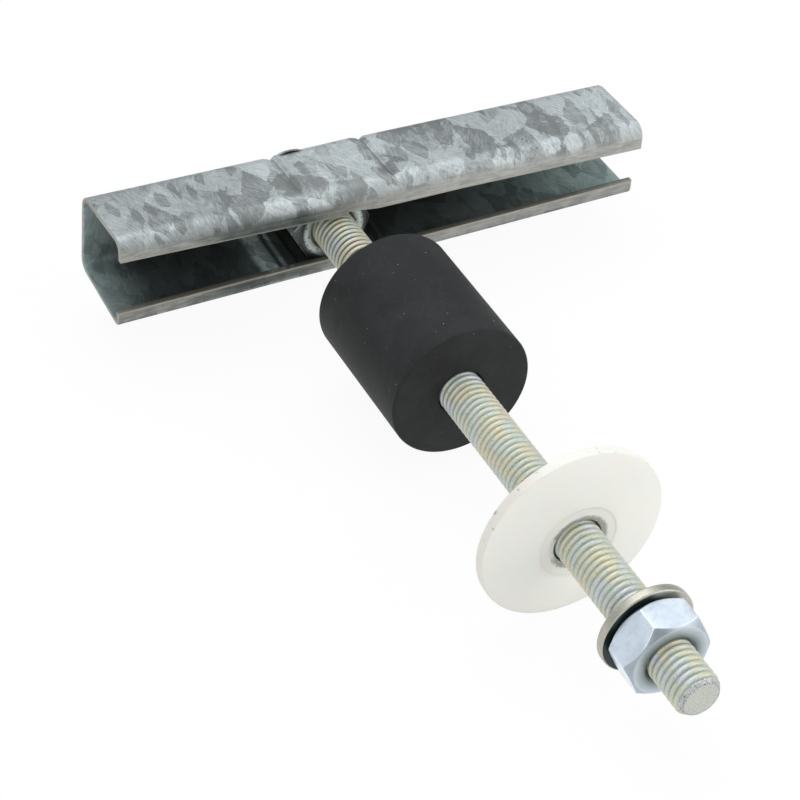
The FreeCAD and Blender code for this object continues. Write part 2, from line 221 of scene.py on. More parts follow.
class BarSettings(bpy.types.PropertyGroup):
    light: colour_setting("Light spangle", "Lightest zinc crystals", (0.62, 0.66, 0.66))
    middle: colour_setting("Middle spangle", "Zinc crystals of middling tone", (0.40, 0.43, 0.43))
    dark: colour_setting("Dark spangle", "Darkest zinc crystals", (0.22, 0.235, 0.23))
    inside: colour_setting("Inside", "Greenish zinc inside the fold", (0.42, 0.53, 0.51))
    # Colour of the painted reflection inside the fold.
    glint: colour_setting("Glint", "Bright patch inside beside the nut", (0.80, 0.92, 0.92))
    edge: colour_setting("Cut edge", "Brownish tint of cut edges", (0.42, 0.39, 0.33))
    # Colour of the dark tone in the ribs' creases, and of the painted shade in the slit under the strap and
    # on the strap's underside.
    crease_and_shade: colour_setting("Crease", "Dirt in the ribs' creases", (0.14, 0.12, 0.095))
    rubbed_dark: colour_setting("Dark rubbing", "Darkest of the rubbed lips", (0.19, 0.20, 0.19))
    rubbed: colour_setting("Rubbing", "Middling tone of the rubbed lips", (0.29, 0.29, 0.27))
    rubbed_light: colour_setting("Light rubbing", "Lightest of the rubbed lips", (0.46, 0.44, 0.38))
    # Colour of the painted light on parts of the lips.
    painted_lip_light: colour_setting("Pale rubbing", "Pale veil on parts of the lips", (0.50, 0.50, 0.465))
    lip_shade: colour_setting("Lip shade", "Shade on the lips at the nut", (0.38, 0.45, 0.43))
    spangle: length_setting("Spangle", "Size of one zinc crystal", 7.5)
    sheet: length_setting("Sheet", "Thickness of the folded sheet", 1.4)
    burr: length_setting("Burr", "Rounding of the sheet's cut edges", 0.22)
    rib_depth: length_setting("Rib depth", "Depth of the pressed ribs", 0.75)
    rib_width: length_setting("Rib width", "Half the width of a pressed rib", 1.5)


class StageSettings(bpy.types.PropertyGroup):
    place: bpy.props.FloatVectorProperty(
        name="Camera place", description="Where the camera stands", subtype="TRANSLATION",
        default=(-0.21046, -0.31491, 0.33521))
    turn: bpy.props.FloatVectorProperty(
        name="Camera turn", description="The camera's Euler angles", subtype="EULER",
        default=(math.radians(49.6566), math.radians(-3.5535), math.radians(-26.7697)))
    lens: bpy.props.FloatProperty(
        name="Lens", description="Focal length on a 36 mm sensor, in millimetres", default=107.4)


def nodes_of(material):
    """Empty a material's node tree and return it with a fresh surface shader."""
    material.use_nodes = True
    tree = material.node_tree
    tree.nodes.clear()
    shader = tree.nodes.new("ShaderNodeBsdfPrincipled")
    out = tree.nodes.new("ShaderNodeOutputMaterial")
    tree.links.new(shader.outputs["BSDF"], out.inputs["Surface"])
    return tree, shader


def put(tree, socket, value):
    """Link a socket to another one, or give it a plain value."""
    if isinstance(value, bpy.types.NodeSocket):
        tree.links.new(value, socket)
    else:
        socket.default_value = value


def fill(tree, node, **values):
    """Fill a node's sockets by name."""
    for name, value in values.items():
        put(tree, node.inputs[name.replace("_", " ")], value)


def add(tree, kind, **values):
    """Add a node, and set its properties and its sockets by name."""
    node = tree.nodes.new(kind)
    for name, value in values.items():
        if hasattr(node, name):
            setattr(node, name, value)
        else:
            fill(tree, node, **{name: value})
    return node


def math_node(tree, operation, *values):
    """Work out a number from sockets or plain numbers."""
    node = add(tree, "ShaderNodeMath", operation=operation)
    for socket, value in zip(node.inputs, values):
        put(tree, socket, value)
    return node.outputs[0]


def times(tree, first, second):
    """Multiply two numbers."""
    return math_node(tree, "MULTIPLY", first, second)


def scaled(tree, value, scale, shift):
    """Multiply a number and add to it."""
    return math_node(tree, "MULTIPLY_ADD", value, scale, shift)


def vector_node(tree, operation, *values, scale=None):
    """Work out a vector, or a number for a length and a dot product."""
    node = add(tree, "ShaderNodeVectorMath", operation=operation)
    for socket, value in zip(node.inputs, values):
        put(tree, socket, value)
    if scale is not None:
        put(tree, node.inputs["Scale"], scale)
    return node.outputs["Value" if operation in ("LENGTH", "DOT_PRODUCT") else "Vector"]


def ramp(tree, factor, stops, reach=1.0):
    """Map a number between 0 and reach to colours, or to a grey where a stop has a plain number."""
    node = tree.nodes.new("ShaderNodeValToRGB")
    band = node.color_ramp.elements
    while len(band) < len(stops):
        band.new(0.5)
    for mark, (place, colour) in zip(band, stops):
        if isinstance(colour, float):
            colour = (colour, colour, colour)
        mark.position = place / reach
        mark.color = (*colour, 1.0)
    if reach != 1.0:
        factor = times(tree, factor, 1 / reach)
    tree.links.new(factor, node.inputs["Fac"])
    return node.outputs["Color"]


def toned(colour, share):
    """Return a darker or lighter colour."""
    return [min(1.0, value * share) for value in colour]


def blend_colours(tree, factor, first, second, how="MIX"):
    """Mix two colours by a number."""
    node = add(tree, "ShaderNodeMix", data_type="RGBA", blend_type=how)
    put(tree, node.inputs[0], factor)
    for socket, value in ((node.inputs[6], first), (node.inputs[7], second)):
        put(tree, socket, value if isinstance(value, bpy.types.NodeSocket) else (*value, 1.0))
    return node.outputs[2]


def darken(tree, colour, shade, share=1.0):
    """Multiply a colour by a shade."""
    return blend_colours(tree, share, colour, shade, "MULTIPLY")


def bump(tree, height, strength, distance):
    """Turn a height into a surface normal."""
    return add(tree, "ShaderNodeBump", Height=height, Strength=strength, Distance=distance).outputs["Normal"]


def attribute(tree, name):
    """Read one of the mesh's own numbers."""
    return add(tree, "ShaderNodeAttribute", attribute_name=name).outputs["Fac"]


def fine_noise(tree, place, scale, detail=4.0, roughness=0.5, distortion=0.0):
    """Return a noise whose scale is in features per millimetre."""
    node = add(tree, "ShaderNodeTexNoise", Vector=place, Scale=scale, Detail=detail,
               Roughness=roughness, Distortion=distortion)
    return node.outputs["Fac"]


def drawn_noise(tree, place, stretch, *settings):
    """Return a noise that is drawn out by its number of features per millimetre along each axis."""
    return fine_noise(tree, vector_node(tree, "MULTIPLY", place, stretch), 1.0, *settings)


def new_material(name):
    """Return a new material, its node tree, its shader and the object's own place in millimetres."""
    material = bpy.data.materials.new(name)
    tree, shader = nodes_of(material)
    own_place = add(tree, "ShaderNodeTexCoord").outputs["Object"]
    return material, tree, shader, vector_node(tree, "SCALE", own_place, scale=1 / MM)


def from_stud(tree, place):
    """Return a place as it is seen from the stud's axis."""
    return vector_node(tree, "SUBTRACT", place, (STUD_X / MM, 0.0, STUD_Z / MM))


def distance_from_stud(tree, place):
    """Return the distance from the stud's axis in millimetres."""
    return vector_node(tree, "LENGTH", vector_node(tree, "MULTIPLY", from_stud(tree, place), (1.0, 0.0, 1.0)))


def along_stud(tree, place):
    """Return how far a place or a direction goes along the stud."""
    return add(tree, "ShaderNodeSeparateXYZ", Vector=place).outputs["Y"]


def facing_tip(tree):
    """Return how squarely a surface faces along the stud, from 0 to 1."""
    surface = add(tree, "ShaderNodeNewGeometry").outputs["Normal"]
    turned = add(tree, "ShaderNodeVectorTransform", vector_type="NORMAL", convert_from="WORLD",
                 convert_to="OBJECT", Vector=surface)
    return math_node(tree, "ABSOLUTE", along_stud(tree, turned.outputs[0]))


def zinc_thread_material(settings):
    """Passivated zinc on the thread: straw, green and silver tints, with painted shade in the roots, deeper
    near the bar.
    """
    material, tree, shader, place = new_material("zinc_thread")
    patches = fine_noise(tree, place, 0.16, 3.0, 0.55, 0.6)
    tint = ramp(tree, patches, [
        (0.36, settings.silver), (0.47, settings.green), (0.58, settings.straw), (0.70, settings.rose)])
    height = attribute(tree, "thread_height")
    # Painted shade: the roots darker than the crests, and near the bar a painted reflection of its dark
    # inside makes them darker still.
    shade = ramp(tree, height, [(0.0, 0.56), (0.30, 0.78), (0.65, 0.96), (1.0, 1.0)])
    deep = ramp(tree, height, [(0.0, 0.08), (0.30, 0.28), (0.70, 0.80), (1.0, 1.0)])
    near_bar = ramp(tree, along_stud(tree, place), [(34.0, 0.0), (44.0, 1.0)], 100)
    coloured = darken(tree, tint, blend_colours(tree, near_bar, shade, deep))
    specks = fine_noise(tree, place, 2.4, 3.0, 0.6)
    dirt = ramp(tree, specks, [(0.31, 0.20), (0.37, 0.85), (0.44, 1.0)])
    wear = fine_noise(tree, place, 1.1, 4.0, 0.6)
    grain = fine_noise(tree, place, 5.0, 3.0, 0.6)
    fill(tree, shader, Base_Color=darken(tree, coloured, dirt, 0.6), Metallic=0.5,
         Roughness=scaled(tree, wear, 0.20, 0.40), Normal=bump(tree, grain, 0.25, 0.00004))
    return material


def sawn_end_material(settings):
    """Pale sawn end face and rough chamfer at the stud's ends."""
    material, tree, shader, place = new_material("sawn_end")
    wobble = fine_noise(tree, place, 0.9, 3.0, 0.6)
    edge = scaled(tree, wobble, 0.9, distance_from_stud(tree, place))
    colour = ramp(tree, edge, [(4.0, settings.sawn), (4.25, settings.face_edge), (5.0, settings.chamfer)], 10)
    speck = fine_noise(tree, place, 3.2, 4.0, 0.7)
    dirt = ramp(tree, speck, [(0.38, 0.28), (0.50, 1.0)])
    rough_part = ramp(tree, edge, [(4.0, 0.45), (4.3, 1.0)], 10)
    colour = blend_colours(tree, rough_part, colour, darken(tree, colour, dirt))
    fill(tree, shader, Base_Color=colour, Metallic=0.4, Roughness=0.5, Normal=bump(tree, speck, 0.4, 0.00010))
    return material


def nut_material(name, colour, face, rim, chamfer, speckle):
    """Zinc on a nut, with faint clouds, end faces partly of duller zinc and partly painted shade, painted
    shade round the bore and on the chamfer, and, on the old one, dark speckles.
    """
    material, tree, shader, place = new_material(name)
    clouds = fine_noise(tree, place, 0.22, 4.0, 0.55, 0.3)
    base = ramp(tree, clouds, [(0.32, toned(colour, 0.86)), (0.50, colour), (0.70, toned(colour, 1.07))])
    away = distance_from_stud(tree, place)
    # Painted shade: the end face darkens towards the bore, and the rim share darkens the chamfer where it
    # would mirror dark surroundings.
    dull_and_shaded = ramp(tree, away, [
        (5.3, toned(face, 0.30)), (6.6, face), (chamfer, toned(colour, 0.70)),
        (chamfer + 0.35, toned(colour, rim))], 10)
    on_face = ramp(tree, facing_tip(tree), [(0.60, 0.0), (0.75, 1.0)])
    base = blend_colours(tree, on_face, base, dull_and_shaded)
    specks = fine_noise(tree, place, 1.2, 4.0, 0.65)
    base = darken(tree, base, ramp(tree, specks, [(0.38, 0.15), (0.44, 1.0)]), speckle)
    # Painted shade: a dark ring round the bore.
    base = darken(tree, base, ramp(tree, away, [(4.7, 0.12), (5.3, 1.0)], 10))
    smudge = fine_noise(tree, place, 0.7, 5.0, 0.6)
    fill(tree, shader, Base_Color=base, Metallic=0.62, Normal=bump(tree, specks, 0.12, 0.0001),
         Roughness=scaled(tree, smudge, 0.25, 0.22))
    return material


def washer_material(settings):
    """Beige zinc on the steel washer, with painted shade and reflection darkening its face, fading out
    towards one side.
    """
    material, tree, shader, place = new_material("zinc_washer")
    clouds = fine_noise(tree, place, 0.35, 4.0, 0.6, 0.4)
    base = ramp(tree, clouds, [(0.34, settings.cool), (0.52, settings.steel), (0.68, settings.warm)])
    specks = fine_noise(tree, place, 3.0, 3.0, 0.6)
    base = darken(tree, base, ramp(tree, specks, [(0.33, 0.55), (0.43, 1.0)]), 0.5)
    # Painted shade and reflection on the face, kept off the side towards the right.
    side = vector_node(tree, "DOT_PRODUCT", from_stud(tree, place), (0.085, 0.0, 0.045))
    shaded_side = ramp(tree, side, [(0.35, 1.0), (0.75, 0.0)])
    on_face = ramp(tree, facing_tip(tree), [(0.93, 0.0), (0.99, 1.0)])
    base = blend_colours(tree, times(tree, on_face, shaded_side), base, settings.face_shade)
    fill(tree, shader, Base_Color=base, Metallic=0.85, Normal=bump(tree, specks, 0.2, 0.00006),
         Roughness=scaled(tree, specks, 0.25, 0.28))
    return material


def rubber_material(settings):
    """Matt charcoal rubber with pale specks and a little dust."""
    material, tree, shader, place = new_material("charcoal_rubber")
    dot = ramp(tree, fine_noise(tree, place, 1.3, 1.0), [(0.775, 0.0), (0.82, 1.0)])
    scratch = drawn_noise(tree, place, (0.9, 0.4, 2.2), 6.0, 0.75, 1.2)
    scuffs = ramp(tree, scratch, [(0.57, 0.0), (0.72, 0.09)])
    veil = ramp(tree, fine_noise(tree, place, 0.09, 5.0, 0.62, 0.4), [(0.42, 0.0), (0.75, 0.05)])
    base = blend_colours(tree, veil, settings.rubber, settings.dust)
    base = blend_colours(tree, scuffs, base, settings.dust)
    base = blend_colours(tree, times(tree, dot, 0.50), base, settings.grit)
    pores = fine_noise(tree, place, 3.0, 4.0, 0.65)
    fill(tree, shader, Base_Color=base, Roughness=0.62, Specular_IOR_Level=0.22,
         Normal=bump(tree, pores, 0.25, 0.00008))
    return material


def plastic_material(settings):
    """Off-white moulded plastic with grime round its hole, painted shade along the hole's edge, a beige ring
    painted stronger towards one side, painted shade on one side of the rim, and a few brown marks on its rim.
    """
    material, tree, shader, place = new_material("white_plastic")
    away = distance_from_stud(tree, place)
    clouds = fine_noise(tree, place, 0.16, 2.0)
    specks = fine_noise(tree, place, 1.7, 4.0, 0.7)
    wide = scaled(tree, specks, -1.8, away)
    crescent = ramp(tree, wide, [(4.4, 0.20), (4.7, 0.80), (5.3, 0.65), (5.85, 0.0)], 10)
    patchy = ramp(tree, clouds, [(0.40, 0.15), (0.49, 1.0)])
    crescent = times(tree, crescent, patchy)
    # Painted shade: a dark line along the hole's edge, next to the stud.
    line = ramp(tree, away, [(5.35, 0.8), (5.55, 0.0)], 10)
    smudge = math_node(tree, "MAXIMUM", crescent, line)
    ring = ramp(tree, away, [(8.0, 0.0), (8.25, 0.45), (8.4, 0.45), (8.65, 0.0)], 10)
    side = vector_node(tree, "DOT_PRODUCT", from_stud(tree, place), (0.06, 0.0, 0.06))
    # Painted shade: the beige ring stronger towards the upper right.
    ring = times(tree, ring, ramp(tree, side, [(0.0, 0.35), (0.5, 1.0)]))
    base = blend_colours(tree, ring, settings.plastic, settings.ring)
    base = blend_colours(tree, smudge, base, settings.grime_and_shade)
    rim = ramp(tree, away, [(19.625, 0.0), (20.0, 1.0)], 25)
    # Painted shade: the rim darker on the side away from the upper right.
    shaded = times(tree, rim, ramp(tree, side, [(0.0, 0.40), (0.8, 0.0)]))
    base = blend_colours(tree, shaded, base, settings.rim)
    marks = ramp(tree, fine_noise(tree, place, 0.5, 4.0, 0.7), [(0.62, 0.0), (0.68, 0.6)])
    base = blend_colours(tree, times(tree, rim, marks), base, settings.marks)
    ripple = fine_noise(tree, place, 0.8, 4.0, 0.6)
    fill(tree, shader, Base_Color=base, Roughness=0.42, Subsurface_Weight=0.25, Subsurface_Scale=0.002,
         Normal=bump(tree, ripple, 0.10, 0.0001))
    return material


def spangle_layer(tree, place, size, seed, stretched):
    """Cover a surface with zinc crystals: random numbers for each, and streaks that run its own way."""
    moved = vector_node(tree, "ADD", place, (seed, seed * 1.7, seed * 0.6))
    wander = fine_noise(tree, moved, 0.30, 5.0, 0.62).node.outputs["Color"]
    drift = vector_node(tree, "SUBTRACT", wander, (0.5, 0.5, 0.5))
    drift = vector_node(tree, "SCALE", drift, scale=size * 0.42)
    bent = vector_node(tree, "MULTIPLY", vector_node(tree, "ADD", moved, drift), stretched)
    crystals = add(tree, "ShaderNodeTexVoronoi", Vector=bent, Scale=1.0 / size).outputs["Color"]
    angles = vector_node(tree, "MULTIPLY", crystals, (0.5, 0.5, 2.2))
    angles = vector_node(tree, "SUBTRACT", angles, (0.25, 0.25, 1.3))
    turned = add(tree, "ShaderNodeVectorRotate", rotation_type="EULER_XYZ", Vector=moved, Rotation=angles)
    return crystals, drawn_noise(tree, turned.outputs[0], (2.4, 0.30, 0.30), 6.0, 0.72)


def crystal_coat(tree, place, size):
    """Lay small crystals over large ones, and return their tone, roughness and surface normal."""
    large, large_streaks = spangle_layer(tree, place, size, 0.0, (1.25, 0.8, 0.8))
    small, small_streaks = spangle_layer(tree, place, size * 0.5, 13.0, (2.0, 0.7, 0.8))
    chances = add(tree, "ShaderNodeSeparateColor", Color=large).outputs
    small_chance = add(tree, "ShaderNodeSeparateColor", Color=small).outputs[0]
    wedge = ramp(tree, chances[0], [(0.20, 0.0), (0.28, 0.13), (0.50, 0.18), (0.58, 0.27), (1.0, 0.31)])
    chip = ramp(tree, small_chance, [(0.16, 0.0), (0.20, 0.17), (1.0, 0.25)])
    clouds = fine_noise(tree, place, 0.10, 3.0)
    tone = math_node(tree, "ADD", wedge, chip)
    for pattern, share in ((large_streaks, 0.85), (small_streaks, 0.55), (clouds, 0.30)):
        tone = scaled(tree, pattern, share, tone)
    tone = math_node(tree, "SUBTRACT", tone, 0.76)
    rough = scaled(tree, chances[1], 0.20, 0.38)
    rough = scaled(tree, small_streaks, 0.15, rough)
    lean = vector_node(tree, "SCALE", vector_node(tree, "SUBTRACT", large, (0.5, 0.5, 0.5)), scale=0.07)
    surface = add(tree, "ShaderNodeNewGeometry").outputs["Normal"]
    leaning = vector_node(tree, "NORMALIZE", vector_node(tree, "ADD", surface, lean))
    height = scaled(tree, small_streaks, 0.6, large_streaks)
    normal = bump(tree, height, 0.30, 0.00012)
    fill(tree, normal.node, Normal=leaning)
    return tone, rough, normal


def wear_and_shade_bends(tree, base, place, along, stretch):
    """Nick the zinc, tone it along the bar with painted light and shade, brighten the front bend with partly
    worn polish and partly painted highlight, and darken the bottom one with painted shade.
    """
    nicks = drawn_noise(tree, place, (0.60, 0.32, 0.32), 4.0, 0.6, 2.0)
    nicks = ramp(tree, nicks, [(0.62, 1.0), (0.68, 0.66)])
    # Painted light and shade: the zinc lighter or darker by its place along the bar.
    painted_tone_along = ramp(tree, along, [
        (0.0, 0.82), (0.22, 0.84), (0.31, 0.98), (0.45, 0.96), (0.60, 0.88), (0.80, 0.90), (0.95, 1.0)])
    base = darken(tree, darken(tree, base, nicks), painted_tone_along)
    front_bend = ramp(tree, stretch, [(0.40, 0.0), (0.65, 0.8), (0.85, 0.8), (1.05, 0.0)], 5)
    brush = drawn_noise(tree, place, (1.6, 0.25, 0.25), 5.0, 0.7)
    # Partly worn polish, partly painted highlight on the front bend.
    polish_and_sheen = times(tree, front_bend, scaled(tree, brush, 1.2, -0.36))
    base = vector_node(tree, "SCALE", base, scale=math_node(tree, "ADD", polish_and_sheen, 1.0))
    # Painted shade on the bottom bend.
    return darken(tree, base, ramp(tree, stretch, [(3.2, 1.0), (3.6, 0.60)], 5))


def wear_and_shade_lips(tree, base, place, along, stretch, settings):
    """Rub both lips to a mottled tone, with painted light making them paler in places and painted shade
    darkening them at the nut and on the bottom lip.
    """
    on_lip = ramp(tree, stretch, [(0.05, 0.85), (0.375, 0.0), (3.7, 0.0), (3.95, 0.85)], 5)
    rub = drawn_noise(tree, place, (0.22, 1.6, 1.6), 5.0, 0.65)
    rubbed = ramp(tree, rub, [
        (0.30, settings.rubbed_dark), (0.52, settings.rubbed), (0.72, settings.rubbed_light)])
    # Painted light: parts of the lips paler.
    paler = ramp(tree, along, [(0.05, 0.35), (0.25, 0.0), (0.36, 0.0), (0.43, 0.75)])
    rubbed = blend_colours(tree, paler, rubbed, settings.painted_lip_light)
    # Painted shade on the lips at the nut.
    darker = ramp(tree, along, [
        (0.12, 1.0), (0.20, settings.lip_shade), (0.33, settings.lip_shade), (0.39, 1.0)])
    mottled = ramp(tree, rub, [(0.36, 0.74), (0.56, 1.0)])
    # Painted shade on the bottom lip.
    bottom_lip = ramp(tree, stretch, [(3.7, 1.0), (3.95, 0.86)], 5)
    for shade in (darker, mottled, bottom_lip):
        rubbed = darken(tree, rubbed, shade)
    return blend_colours(tree, on_lip, base, rubbed)


def dim_inside(tree, base, tone, along, hidden, settings):
    """Paint shade on the inner side, darkest in the middle of the bar, and a painted glint beside the nut."""
    # Painted shade inside the fold, by the place along the bar.
    gloom = ramp(tree, along, [
        (0.0, 0.80), (0.09, 0.14), (0.15, 0.12), (0.25, 0.20), (0.29, 0.40),
        (0.34, 0.12), (0.62, 0.14), (0.78, 0.45), (0.90, 0.95), (1.0, 1.0)])
    dim = ramp(tree, tone, [(0.20, toned(settings.inside, 0.4)), (0.80, settings.inside)])
    dim = darken(tree, dim, gloom)
    # Painted reflection: a bright patch and a thin bright line on the rib beside the nut.
    glint = ramp(tree, along, [
        (0.275, 0.0), (0.285, 0.8), (0.308, 0.8), (0.312, 0.0),
        (0.318, 0.0), (0.320, 0.6), (0.324, 0.6), (0.328, 0.0)])
    glint = times(tree, glint, ramp(tree, tone, [(0.30, 0.4), (0.55, 1.0)]))
    dim = blend_colours(tree, glint, dim, settings.glint)
    return blend_colours(tree, times(tree, hidden, 0.97), base, dim)


def spangle_material(settings):
    """Hot-dip zinc: feathery crystals of different brightness, rubbed bends and lips with painted light and
    shade on them, brown cut edges, and painted shade and a painted glint inside.
    """
    material, tree, shader, place = new_material("spangled_zinc")
    along = attribute(tree, "along")
    stretch = attribute(tree, "stretch")
    hidden = attribute(tree, "inside")
    tone, rough, normal = crystal_coat(tree, place, settings.spangle / MM)
    base = ramp(tree, tone, [(0.22, settings.dark), (0.47, settings.middle), (0.80, settings.light)])
    base = wear_and_shade_bends(tree, base, place, along, stretch)
    base = wear_and_shade_lips(tree, base, place, along, stretch, settings)
    base = blend_colours(tree, attribute(tree, "cut_edge"), base, settings.edge)
    base = dim_inside(tree, base, tone, along, hidden, settings)
    # Dark tone in the ribs' creases, painted shade in the slit and under the strap, and a dark line on the
    # bottom lip's inner edge.
    crease_and_shade = times(tree, attribute(tree, "crease_and_shade"), 0.85)
    fill(tree, shader, Base_Color=blend_colours(tree, crease_and_shade, base, settings.crease_and_shade), Roughness=rough,
         Metallic=scaled(tree, hidden, -0.5, 0.70), Normal=normal)
    return material


def background_rays(tree):
    """Return 1 where the camera, or metal or glass, sees the background."""
    ray = add(tree, "ShaderNodeLightPath").outputs
    seen = math_node(tree, "MAXIMUM", ray["Is Camera Ray"], ray["Is Glossy Ray"])
    return math_node(tree, "MAXIMUM", seen, ray["Is Transmission Ray"])


def new_piece(name, points, faces, material, body, node, slot, smooth=35.0):
    """Make one piece, let it ride on its body and stand for its CAD node."""
    mesh = bpy.data.meshes.new(name)
    mesh.from_pydata(points, [], faces)
    work = bmesh.new()
    work.from_mesh(mesh)
    bmesh.ops.remove_doubles(work, verts=work.verts, dist=0.000001)
    bmesh.ops.recalc_face_normals(work, faces=work.faces)
    work.to_mesh(mesh)
    work.free()
    mesh.materials.append(material)
    mesh.shade_smooth()
    mesh.set_sharp_from_angle(angle=math.radians(smooth))
    piece = bpy.data.objects.new(name, mesh)
    bpy.context.scene.collection.objects.link(piece)
    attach(piece, body)
    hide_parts(node)
    return piece


def soften(piece, width, segments=3):
    """Round a piece's sharp edges."""
    bevel = piece.modifiers.new("Soft edges", "BEVEL")
    bevel.width = width
    bevel.segments = segments
    bevel.limit_method = "ANGLE"
    bevel.angle_limit = SOFT_EDGE_ANGLE
    bevel.harden_normals = True


def on_stud(radius, along, angle):
    """Return a point at a distance from the stud's axis."""
    return (STUD_X + radius * math.cos(angle), along, STUD_Z + radius * math.sin(angle))


def ring_faces(rings, count, round_trip=True):
    """Return the faces between closed sections of so many points, from the last back to the first too."""
    faces = []
    for ring in range(rings if round_trip else rings - 1):
        after = (ring + 1) % rings
        for index in range(count):
            beside = (index + 1) % count
            faces.append((ring * count + index, ring * count + beside,
                          after * count + beside, after * count + index))
    return faces


def turned_rings(section, segments):
    """Turn a closed half section round the stud's axis."""
    points = []
    for step in range(segments):
        angle = 2 * math.pi * step / segments
        for radius, along in section:
            points.append(on_stud(radius, along, angle))
    return points, ring_faces(segments, len(section))


def tube(node, bore, segments):
    """Return the points and faces of a tube that fills a round CAD node."""
    start, finish = span_of(node, 1)
    outer = radius_of(node)
    return turned_rings([(bore, start), (outer, start), (outer, finish), (bore, finish)], segments)


class TOGGLE_OT_stud(bpy.types.Operator):
    """Make the threaded stud with its helical thread and sawn ends"""
    bl_idname = "toggle.stud"
    bl_label = "Threaded stud"

    def execute(self, context):
        settings = context.scene.toggle_stud
        start, finish = span_of("threaded_rod", 1)
        thread_depth = settings.crest_radius - settings.root_radius
        turns = range(-2, int((finish - start) / settings.pitch) + 3)
        points = []
        for column in range(THREAD_COLUMNS + 1):
            angle = 2 * math.pi * column / THREAD_COLUMNS
            for turn in turns:
                for phase, height in THREAD_SECTION:
                    along = start + (turn + phase + column / THREAD_COLUMNS) * settings.pitch
                    along = min(max(along, start), finish)
                    radius = settings.root_radius + thread_depth * height
                    from_end = min(along - start, finish - along)
                    cone = settings.tip_radius + from_end / settings.tip_length * (
                        settings.crest_radius - settings.tip_radius)
                    points.append(on_stud(min(radius, cone), along, -angle))
        rows = len(turns) * len(THREAD_SECTION)
        faces = []
        for column in range(THREAD_COLUMNS):
            for row in range(rows - 1):
                first = column * rows + row
                beside = first + rows
                faces.append((first, first + 1, beside + 1, beside))
        face_radius = min(settings.tip_radius, settings.root_radius)
        for end in (start, finish):
            hub = len(points)
            points.append(on_stud(0, end, 0))
            for column in range(THREAD_COLUMNS):
                points.append(on_stud(face_radius, end, -2 * math.pi * column / THREAD_COLUMNS))
                faces.append((hub, hub + 1 + column, hub + 1 + (column + 1) % THREAD_COLUMNS))
        piece = new_piece("stud_thread", points, faces, zinc_thread_material(settings),
                          "stud", "threaded_rod", "zinc_yellow", smooth=50.0)
        piece.data.materials.append(sawn_end_material(settings))
        heights = piece.data.attributes.new("thread_height", "FLOAT", "POINT")
        for vertex in piece.data.vertices:
            across = Vector((vertex.co.x - STUD_X, vertex.co.z - STUD_Z)).length
            share = (across - settings.root_radius) / thread_depth
            heights.data[vertex.index].value = min(max(share, 0.0), 1.0)
        for face in piece.data.polygons:
            from_end = min(face.center.y - start, finish - face.center.y)
            if from_end < settings.tip_length * ROUGH_TIP_SHARE:
                face.material_index = 1
        return {"FINISHED"}


def nut_shape(settings, node, turn):
    """Return the points and faces of a hexagon nut with chamfered faces and a countersunk bore."""
    start, finish = span_of(node, 1)
    flat = settings.across_flats / 2
    cosine = math.cos(math.radians(30))
    corner = flat / cosine - settings.corner_radius * (1 - cosine)
    points = []
    for step in range(NUT_SEGMENTS):
        angle = 2 * math.pi * step / NUT_SEGMENTS
        inside_flat = (math.degrees(angle) % 60) - 30
        radius = min(flat / math.cos(math.radians(inside_flat)), corner)
        drop = max(0.0, radius - settings.face_radius) * math.tan(NUT_CHAMFER)
        # From the bore over the end face to the flat: radius, and depth behind the face with eased edges
        half_section = [
            (settings.bore_radius, settings.countersink - settings.bore_radius),
            (settings.countersink, 0.0),
            (settings.face_radius - 0.25 * MM, 0.0),
            (settings.face_radius, 0.03 * MM),
            ((settings.face_radius + radius) / 2, drop / 2 + 0.02 * MM),
            (radius, drop + 0.04 * MM),
        ]
        section = [(distance, start + inset) for distance, inset in half_section]
        section.append((radius, (start + finish) / 2))
        section += [(distance, finish - inset) for distance, inset in reversed(half_section)]
        for distance, along in section:
            points.append(on_stud(distance, along, angle - math.radians(turn)))
    return points, ring_faces(NUT_SEGMENTS, len(section))


class TOGGLE_OT_nuts(bpy.types.Operator):
    """Make the front nut and the nut held in the bar"""
    bl_idname = "toggle.nuts"
    bl_label = "Hexagon nuts"

    def execute(self, context):
        settings = context.scene.toggle_nut
        # The rim shares set how much painted shade darkens each nut's chamfer.
        blue = nut_material("blue_zinc", settings.front, settings.face, rim=0.44, chamfer=7.85, speckle=0.12)
        old = nut_material(
            "speckled_zinc", settings.captive, settings.captive, rim=0.10, chamfer=7.1, speckle=0.85)
        front = new_piece("front_hex_nut", *nut_shape(settings, "front_nut", 5.0), blue,
                          "clamp_nut", "front_nut", "zinc_blue", smooth=22.0)
        captive = new_piece("captive_hex_nut", *nut_shape(settings, "captive_nut", 0.0), old,
                            "stud", "captive_nut", "zinc_yellow", smooth=22.0)
        for nut in (front, captive):
            soften(nut, settings.edge, 2)
        return {"FINISHED"}


class TOGGLE_OT_washers(bpy.types.Operator):
    """Make the steel washer and the coned plastic washer"""
    bl_idname = "toggle.washers"
    bl_label = "Washers"

    def execute(self, context):
        settings = context.scene.toggle_washer
        points, faces = tube("steel_washer", settings.bore, ROUND_SEGMENTS)
        steel = new_piece("flat_steel_washer", points, faces, washer_material(settings),
                          "flat_washer", "steel_washer", "zinc_yellow")
        soften(steel, settings.edge)
        start, finish = span_of("plastic_washer", 1)
        outer = radius_of("plastic_washer")
        bore = PLASTIC_FACE[0][0] * MM
        section = [(radius * MM, start + depth * MM) for radius, depth in PLASTIC_FACE]
        section += [(outer, start + PLASTIC_RIM_DEPTH * MM), (outer, finish), (bore, finish)]
        points, faces = turned_rings(section, PLASTIC_SEGMENTS)
        plastic = new_piece("coned_plastic_washer", points, faces, plastic_material(settings),
                            "wall_washer", "plastic_washer", "white_plastic")
        soften(plastic, settings.plastic_edge)
        return {"FINISHED"}


